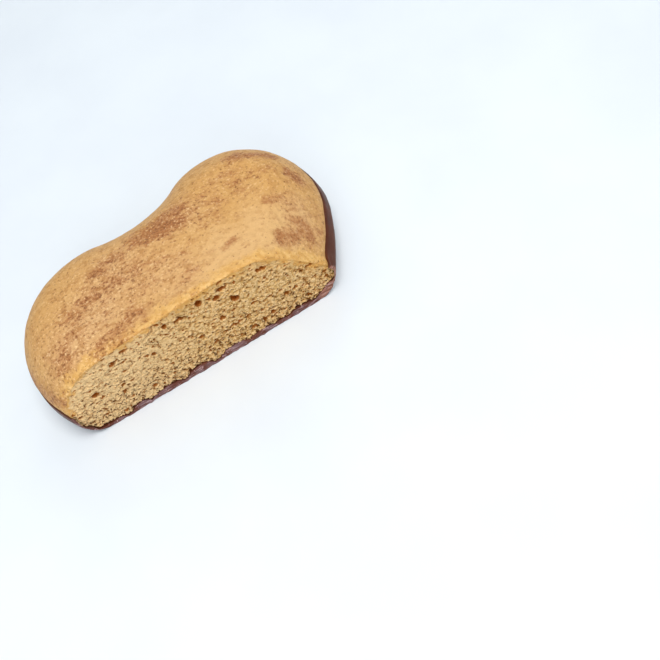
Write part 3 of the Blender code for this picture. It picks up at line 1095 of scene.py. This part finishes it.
def coatSheets():
    outer, inner = coatSheet(0.0), coatSheet(coat["floorThickness"])
    rows, columns = outer.shape[:2]
    inward = gridNormals(inner)
    inward *= np.sign(inward[-1, columns // 2, 2])
    near = np.exp(-((behindCut(inner) / coat["edgeReach"]) ** 2))
    low = 1 - smooth(inner[..., 2], 2.5, 5.0)
    floorExtra = edgeThickness(onCutPlane(inner)[..., 0]) - coat["floorThickness"]
    wallExtra = coat["wallAtCut"] - coat["wallThickness"]
    rough = 0.16 * softNoise(inner.reshape(-1, 3), 1.1, 23) + 0.1 * softNoise(inner.reshape(-1, 3), 0.4, 24)
    extra = floorExtra * low + wallExtra * (1 - low) + rough.reshape(rows, columns) * low
    inner += inward * (extra * near)[..., None]

    places = outer.reshape(-1, 3)
    dents = (0.1 * softNoise(places, 5.0, 25) + 0.04 * softNoise(places, 1.4, 26)).reshape(rows, columns)
    outwards = gridNormals(outer)
    outwards *= -np.sign(outwards[-1, columns // 2, 2])
    outer += outwards * (np.minimum(dents, 0.02) * smooth(outer[..., 2], 0.3, 2.5))[..., None]
    return outer, inner


def cutPath(index):
    # the numbers of a coat sheet's vertices along the cut, from the left lip round to the right one
    return np.concatenate([index[:-1, 0], index[-1, :], index[-2::-1, -1]])


def quadsOf(index, flip=False):
    quads = np.stack([index[:-1, :-1], index[1:, :-1], index[1:, 1:], index[:-1, 1:]], axis=-1)
    quads = quads.reshape(-1, 4)
    return quads[:, ::-1] if flip else quads


def makeCoat(outer, inner):
    rows, columns = outer.shape[:2]
    across = coat["acrossEdge"]
    steps = np.linspace(0, 1, across)
    lipBand = outer[0][None] + (inner[0] - outer[0])[None] * steps[:, None, None]
    lipBand[..., 2] += 0.42 * np.sin(math.pi * steps)[:, None]
    index = np.arange(rows * columns).reshape(rows, columns)
    path = cutPath(index)
    outerPath, innerPath = outer.reshape(-1, 3)[path], inner.reshape(-1, 3)[path]
    edgeBand = outerPath[:, None] + (innerPath - outerPath)[:, None] * steps[None, :, None]

    sheetSize, lipSize = rows * columns, (across - 2) * columns
    lipStart, bandStart = 2 * sheetSize, 2 * sheetSize + lipSize
    lipIndex = np.vstack([index[0], lipStart + np.arange(lipSize).reshape(-1, columns), sheetSize + index[0]])
    bandIndex = np.empty((len(path), across), int)
    bandIndex[:, 0], bandIndex[:, -1] = path, sheetSize + path
    bandCount = (len(path) - 2) * (across - 2)
    bandIndex[1:-1, 1:-1] = bandStart + np.arange(bandCount).reshape(-1, across - 2)
    bandIndex[0], bandIndex[-1] = lipIndex[:, 0], lipIndex[:, -1]
    inside = edgeBand[1:-1, 1:-1].reshape(-1, 3)
    points = np.vstack([outer.reshape(-1, 3), inner.reshape(-1, 3), lipBand[1:-1].reshape(-1, 3), inside])
    sheets = [quadsOf(index, flip=True), quadsOf(sheetSize + index), quadsOf(lipIndex), quadsOf(bandIndex)]
    faces = np.vstack(sheets)

    # the edge is broken, not cut clean
    behind = np.maximum(behindCut(points), 0)
    cutPlaces = onCutPlane(points)
    flat = np.column_stack([cutPlaces[:, 0], cutPlaces[:, 1], np.zeros(len(points))])
    back = coat["edgeBack"] + coat["edgeWaver"] * softNoise(flat, 2.6, 21) + coat["edgeChip"] * softNoise(flat, 0.8, 22)
    fade = np.exp(-behind / coat["chipFade"])
    onBand = np.arange(len(points)) >= bandStart
    layers = 0.11 * softNoise(flat * (0.35, 1.6, 1.0), 0.3, 27)
    points[:, :2] += (back * fade + layers * onBand)[:, None] * intoCut
    lift = coat["flakeLift"] * np.maximum(softNoise(flat * (1.0, 0.3, 1.0), 0.9, 28) - 0.15, 0)
    low = (1 - smooth(points[:, 2], 0.0, 0.8)) * np.exp(-behind / 0.6)
    points[:, 2] += lift * low
    piece = newMesh("chocolateCoat", inFrame(points), faces.tolist())
    broken = np.zeros(len(points))
    broken[onBand] = 1.0
    broken[path] = 0.7
    broken[sheetSize + path] = 1.0
    keepAttribute(piece, "broken", broken)
    keepAttribute(piece, "cutPlace", flat * mm, "FLOAT_VECTOR")
    print("coat", len(points), "points", len(faces) * 2, "triangles")
    return piece


coatLook = {
    "dark": (77, 39, 24),
    "mid": (92, 49, 31),
    "bloom": (112, 74, 62),
    "broken": (112, 66, 56),
    "lilacSheen": (136, 106, 108),
    "flap": (160, 110, 92),  # the thick corner at the right end of the cut
    "flapFrom": 317,  # the photo's x where it starts
    "flapFade": 1.5,
    "flake": (196, 164, 160),
    "roughness": 0.34,
}


def makeChocolateFinish():
    look = coatLook
    material, tree, shader = finish("chocolateGlaze")
    place = put(tree, "ShaderNodeTexCoord").outputs["Object"]
    broad = noiseAt(tree, place, 4.0, 3.0)
    streaks = noiseAt(tree, vectorCalc(tree, "MULTIPLY", place, (1.0, 1.0, 3.0)), 1.2, 4.0, 0.6)
    colour = blendTint(tree, remap(tree, broad, 0.35, 0.7), tint(*look["dark"]), tint(*look["mid"]))
    colour = blendTint(tree, remap(tree, streaks, 0.55, 0.8, 0.0, 0.25), colour, tint(*look["bloom"]))

    # the broken edge is lighter and layered, with painted lilac sheen in places, and pale flakes
    broken = meshAttribute(tree, "broken")
    cutPlace = meshAttribute(tree, "cutPlace", "Vector")
    layered = vectorCalc(tree, "MULTIPLY", cutPlace, (0.3, 1.8, 1.0))
    layers = noiseAt(tree, layered, 0.8, 3.0, 0.6)
    stretches = noiseAt(tree, vectorCalc(tree, "MULTIPLY", cutPlace, (1.0, 0.5, 1.0)), 3.0, 2.0)
    # painted sheen: lilac stretches along the broken edge
    edge = blendTint(tree, remap(tree, stretches, 0.42, 0.6), tint(*look["broken"]), tint(*look["lilacSheen"]))
    alongEdge = put(tree, "ShaderNodeSeparateXYZ", {0: cutPlace}).outputs[0]
    flap = calc(tree, "ADD", alongEdge, calc(tree, "MULTIPLY_ADD", layers, 4.0 * mm, -2.0 * mm))
    flapStart = float(footPlace(look["flapFrom"]))
    flap = remap(tree, flap, flapStart * mm, (flapStart + look["flapFade"]) * mm)
    edge = blendTint(tree, flap, edge, tint(*look["flap"]))
    colour = blendTint(tree, calc(tree, "MULTIPLY", broken, remap(tree, layers, 0.35, 0.6, 0.3, 1.0)), colour, edge)
    flakes = calc(tree, "MULTIPLY", broken, remap(tree, layers, 0.55, 0.68, 0.0, 0.9))
    colour = blendTint(tree, flakes, colour, tint(*look["flake"]))
    height = calc(tree, "ADD", calc(tree, "MULTIPLY", broad, 1.0), calc(tree, "MULTIPLY", streaks, 0.3))
    height = calc(tree, "ADD", height, calc(tree, "MULTIPLY", calc(tree, "MULTIPLY", layers, broken), 1.2))
    bump = put(tree, "ShaderNodeBump", {"Strength": 0.5, "Distance": 0.2 * mm, "Height": height})
    tree.links.new(bump.outputs[0], shader.inputs["Normal"])
    tree.links.new(colour, shader.inputs["Base Color"])
    tree.links.new(remap(tree, streaks, 0.3, 0.8, look["roughness"], 0.48), shader.inputs["Roughness"])
    shader.inputs["Specular IOR Level"].default_value = 0.1
    return material


# Loose grains on the open crumb, and splinters on the chocolate's broken edge. Sizes in metres.
looseGrains = {
    "Spacing": 0.55 * mm,
    "Density": 3.0e6,
    "Smallest": 0.1 * mm,
    "Largest": 0.24 * mm,
    "Narrowness": 0.8,
    "Flatness": 0.6,
    "Seed": 7,
}
chocolateSplinters = {
    "Spacing": 0.5 * mm,
    "Density": 2.0e6,
    "Smallest": 0.1 * mm,
    "Largest": 0.32 * mm,
    "Narrowness": 0.5,
    "Flatness": 0.22,
    "Seed": 3,
}
looseTints = {
    "grainDark": (190, 144, 86),
    "grainLight": (230, 195, 142),
    "splinterDark": (110, 68, 60),
    "splinterLight": (190, 158, 154),
}


def raisedCrumb(tree):
    # the faces of the open crumb that lie high, away from pores and from the crust
    high = calc(tree, "LESS_THAN", attributeOf(tree, "sunk"), 0.16)
    solid = calc(tree, "LESS_THAN", attributeOf(tree, "pore"), 0.04)
    inner = calc(tree, "LESS_THAN", attributeOf(tree, "fromEdge"), -1.6 * mm)
    chosen = calc(tree, "MULTIPLY", calc(tree, "MULTIPLY", high, solid), inner)
    return calc(tree, "MULTIPLY", chosen, attributeOf(tree, "openFace", "BOOLEAN"))


def brokenEdge(tree):
    # the faces of the coat's broken edge, but for those right on the floor
    height = put(tree, "ShaderNodeSeparateXYZ", {0: attributeOf(tree, "cutPlace", "FLOAT_VECTOR")}).outputs[1]
    offFloor = calc(tree, "GREATER_THAN", height, 0.5 * mm)
    return calc(tree, "MULTIPLY", calc(tree, "GREATER_THAN", attributeOf(tree, "broken"), 0.95), offFloor)


def looseTree(name, sizes, chooseFaces, looseFinish):
    # small lumps of one shape, turned at random, on the chosen faces
    tree, start, end = geometryTree(name, sizes)
    size = start.outputs
    spots = put(tree, "GeometryNodeDistributePointsOnFaces", {
        "Mesh": size["Geometry"],
        "Selection": chooseFaces(tree),
        "Distance Min": size["Spacing"],
        "Density Max": size["Density"],
        "Seed": size["Seed"],
    }, distribute_method="POISSON")
    tone = put(tree, "FunctionNodeRandomValue", {2: 0.0, 3: 1.0, "Seed": size["Seed"]}, data_type="FLOAT")
    toned = put(tree, "GeometryNodeStoreNamedAttribute", {
        "Geometry": spots.outputs["Points"],
        "Name": "tone",
        "Value": tone.outputs[1],
    }, data_type="FLOAT", domain="POINT")
    radius = put(tree, "FunctionNodeRandomValue", {2: size["Smallest"], 3: size["Largest"], "Seed": 11}, data_type="FLOAT")
    shape = put(tree, "ShaderNodeCombineXYZ", {0: 1.0, 1: size["Narrowness"], 2: size["Flatness"]})
    turn = put(tree, "FunctionNodeRandomValue", {1: (6.28, 6.28, 6.28), "Seed": 12}, data_type="FLOAT_VECTOR")
    lump = put(tree, "GeometryNodeMeshIcoSphere", {"Radius": 1.0, "Subdivisions": 1})
    lumps = put(tree, "GeometryNodeInstanceOnPoints", {
        "Points": toned.outputs[0],
        "Instance": lump.outputs["Mesh"],
        "Rotation": put(tree, "FunctionNodeEulerToRotation", {0: turn.outputs[0]}).outputs[0],
        "Scale": scaled(tree, shape.outputs[0], radius.outputs[1]),
    })
    whole = put(tree, "GeometryNodeRealizeInstances", {"Geometry": lumps.outputs[0]})
    coloured = put(tree, "GeometryNodeSetMaterial", {"Geometry": whole.outputs[0], "Material": looseFinish})
    tree.links.new(coloured.outputs[0], end.inputs[0])
    return tree


def makeLooseFinish(name, dark, light, roughness):
    material, tree, shader = finish(name)
    place = put(tree, "ShaderNodeTexCoord").outputs["Object"]
    fine = calc(tree, "MULTIPLY_ADD", noiseAt(tree, place, 0.3, 2.0), 0.8, -0.4)
    share = calc(tree, "ADD", meshAttribute(tree, "tone"), fine)
    colour = blendTint(tree, remap(tree, share, 0.0, 1.0), tint(*dark), tint(*light))
    tree.links.new(colour, shader.inputs["Base Color"])
    shader.inputs["Roughness"].default_value = roughness
    shader.inputs["Specular IOR Level"].default_value = 0.3
    return material


def scatterOn(base, name, tree, sizes):
    piece = bpy.data.objects.new(name, base.data.copy())
    bpy.context.scene.collection.objects.link(piece)
    grow(piece, tree, sizes)
    piece.data.shade_smooth()
    print(name, len(piece.data.polygons), "triangles")
    return piece


stage = {
    "floorRadius": 0.5,
    "coveRadius": 0.3,
    "wallTop": 0.8,
    "wallGlow": 0.14,
    "colour": (224, 230, 236),
    "paler": (228, 234, 239),
}


def makeStage():
    # a round floor that turns up into a wall, seamless from every side
    profile = [(0.0, 0.0), (0.1, 0.0), (0.3, 0.0)]
    for turn in np.linspace(0, math.pi / 2, 17):
        across = stage["floorRadius"] + stage["coveRadius"] * math.sin(turn)
        profile.append((across, stage["coveRadius"] * (1 - math.cos(turn))))
    profile.append((stage["floorRadius"] + stage["coveRadius"], stage["wallTop"]))
    turns = np.linspace(0, 2 * math.pi, 97)[:-1]
    points, faces = [(0.0, 0.0, 0.0)], []
    for across, height in profile[1:]:
        points += [(across * math.cos(turn), across * math.sin(turn), height) for turn in turns]
    count = len(turns)
    for i in range(count):
        faces.append((0, 1 + i, 1 + (i + 1) % count))
    for ring in range(len(profile) - 2):
        for i in range(count):
            near, far = 1 + ring * count, 1 + (ring + 1) * count
            faces.append((near + i, far + i, far + (i + 1) % count, near + (i + 1) % count))
    floor = newMesh("studioFloor", np.array(points), faces)
    material, tree, shader = finish("paperWhite")
    place = put(tree, "ShaderNodeTexCoord").outputs["Object"]
    fibre = noiseAt(tree, place, 30.0, 3.0)
    colour = blendTint(tree, remap(tree, fibre, 0.3, 0.7), tint(*stage["colour"]), tint(*stage["paler"]))
    tree.links.new(colour, shader.inputs["Base Color"])
    height = put(tree, "ShaderNodeSeparateXYZ", {0: place}).outputs[2]
    glow = remap(tree, height, 0.0, 0.25, 0.0, stage["wallGlow"])
    tree.links.new(glow, shader.inputs["Emission Strength"])
    shader.inputs["Emission Color"].default_value = (1.0, 1.0, 1.0, 1.0)
    shader.inputs["Roughness"].default_value = 0.7
    shader.inputs["Specular IOR Level"].default_value = 0.2
    floor.data.materials.append(material)
    return floor


lights = {
    "key": {"place": (-0.02, -0.16, 0.47), "size": 0.26, "power": 1.75, "colour": (1.0, 0.98, 0.95)},
    "fill": {"place": (-0.24, -0.34, 0.26), "size": 0.36, "power": 0.5, "colour": (0.98, 0.99, 1.0)},
    "rim": {"place": (0.26, 0.34, 0.3), "size": 0.26, "power": 0.3, "colour": (0.95, 0.98, 1.0)},
}


def makeLight(name, place, size, power, colour):
    lamp = bpy.data.lights.new(name, "AREA")
    lamp.shape = "DISK"
    lamp.size = size
    lamp.energy = power
    lamp.color = colour
    holder = bpy.data.objects.new(name, lamp)
    holder.location = place
    holder.rotation_euler = (Vector((0, 0, 0.01)) - Vector(place)).to_track_quat("-Z", "Y").to_euler()
    bpy.context.scene.collection.objects.link(holder)


def makeCamera():
    lens = bpy.data.cameras.new("photoCamera")
    lens.lens = photoCamera["lens"]
    lens.sensor_width = photoCamera["sensor"]
    lens.clip_start = 0.01
    lens.clip_end = 10.0
    holder = bpy.data.objects.new("photoCamera", lens)
    axes = Matrix((cameraRight, -cameraDown, -forward)).transposed()
    holder.matrix_world = Matrix.Translation(Vector(stand) * mm) @ axes.to_4x4()
    bpy.context.scene.collection.objects.link(holder)
    bpy.context.scene.camera = holder


bakedCrust = makeCrustFinish()
openCrumb = makeCrumbFinish()
chocolateGlaze = makeChocolateFinish()
coatOuter, coatInner = coatSheets()
coatIndex = np.arange(coatInner.shape[0] * coatInner.shape[1]).reshape(coatInner.shape[:2])
coatEdge = onCutPlane(coatInner.reshape(-1, 3)[cutPath(coatIndex)])
gingerbreadBody = makeBody(coatEdge)
grow(gingerbreadBody, reliefTree(bakedCrust, openCrumb), crumbRelief)
print("crumb and crust grown")
chocolateCoat = makeCoat(coatOuter, coatInner)
chocolateCoat.data.materials.append(chocolateGlaze)

crumbGrainFinish = makeLooseFinish("looseCrumb", looseTints["grainDark"], looseTints["grainLight"], 0.8)
splinterFinish = makeLooseFinish("splinter", looseTints["splinterDark"], looseTints["splinterLight"], 0.45)
grainTree = looseTree("grainsOnCrumb", looseGrains, raisedCrumb, crumbGrainFinish)
splinterTree = looseTree("splintersOnEdge", chocolateSplinters, brokenEdge, splinterFinish)
crumbGrains = scatterOn(gingerbreadBody, "crumbGrains", grainTree, looseGrains)
coatSplinters = scatterOn(chocolateCoat, "coatSplinters", splinterTree, chocolateSplinters)

floor = makeStage()
for name, light in lights.items():
    makeLight(name, **light)
makeCamera()
world = bpy.data.worlds.new("studioAir")
bpy.context.scene.world = world
world.use_nodes = True
background = world.node_tree.nodes["Background"]
background.inputs["Color"].default_value = (0.93, 0.97, 1.0, 1.0)
background.inputs["Strength"].default_value = 0.4
bpy.context.scene.view_settings.view_transform = "Standard"
print("stage and light set")

for piece, node, slot in (
    (gingerbreadBody, "gingerbread", "baked_gingerbread"),
    (chocolateCoat, "chocolate_base", "chocolate"),
):
    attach(piece, "root")
    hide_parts(node)
for piece, slot in ((crumbGrains, "baked_gingerbread"), (coatSplinters, "chocolate")):
    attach(piece, "root")
